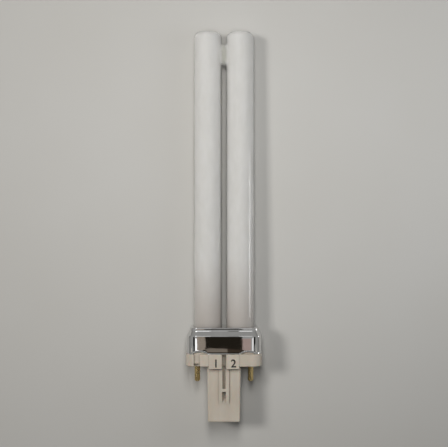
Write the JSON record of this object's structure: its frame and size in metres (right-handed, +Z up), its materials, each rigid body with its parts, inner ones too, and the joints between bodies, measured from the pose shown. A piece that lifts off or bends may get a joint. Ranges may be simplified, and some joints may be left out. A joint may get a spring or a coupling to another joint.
{
  "type": "two-pin twin-tube fluorescent lamp",
  "caption": "Long U-shaped twin-tube fluorescent lamp with white coated glass, a polished metal collar and a moulded plug-in base with contact pins and a latching post.",
  "frame": {"origin": "centre of the box round the lamp, at the level of the face it lies on", "axes": "+Y along the lamp from the base to the tops of the tubes, +Z up out of the front face, +X to the right"},
  "size_m": [0.0324, 0.167, 0.0179],
  "materials": {
    "coated_glass": "clear gloss glass over an opaque white powder coat",
    "cement": "matt, cast",
    "drawn_aluminium": "mirror polished",
    "moulded_plastic": "satin, moulded, cream white",
    "pin_brass": "bright turned",
    "starter_glass": "clear gloss",
    "dipped_resin": "dipped, gloss",
    "lead_wire": "tinned wire"
  },
  "bodies": {
    "root": {"glass_tube": "coated_glass", "tube_cement": "cement", "metal_collar": "drawn_aluminium", "base_housing": "moulded_plastic", "contact_pin_left": "pin_brass", "contact_pin_right": "pin_brass", "glow_starter": "starter_glass", "starter_capacitor": "dipped_resin", "left_pin_lead": "lead_wire", "left_starter_lead": "lead_wire", "right_pin_lead": "lead_wire", "right_starter_lead": "lead_wire"}
  },
  "joints": []
}
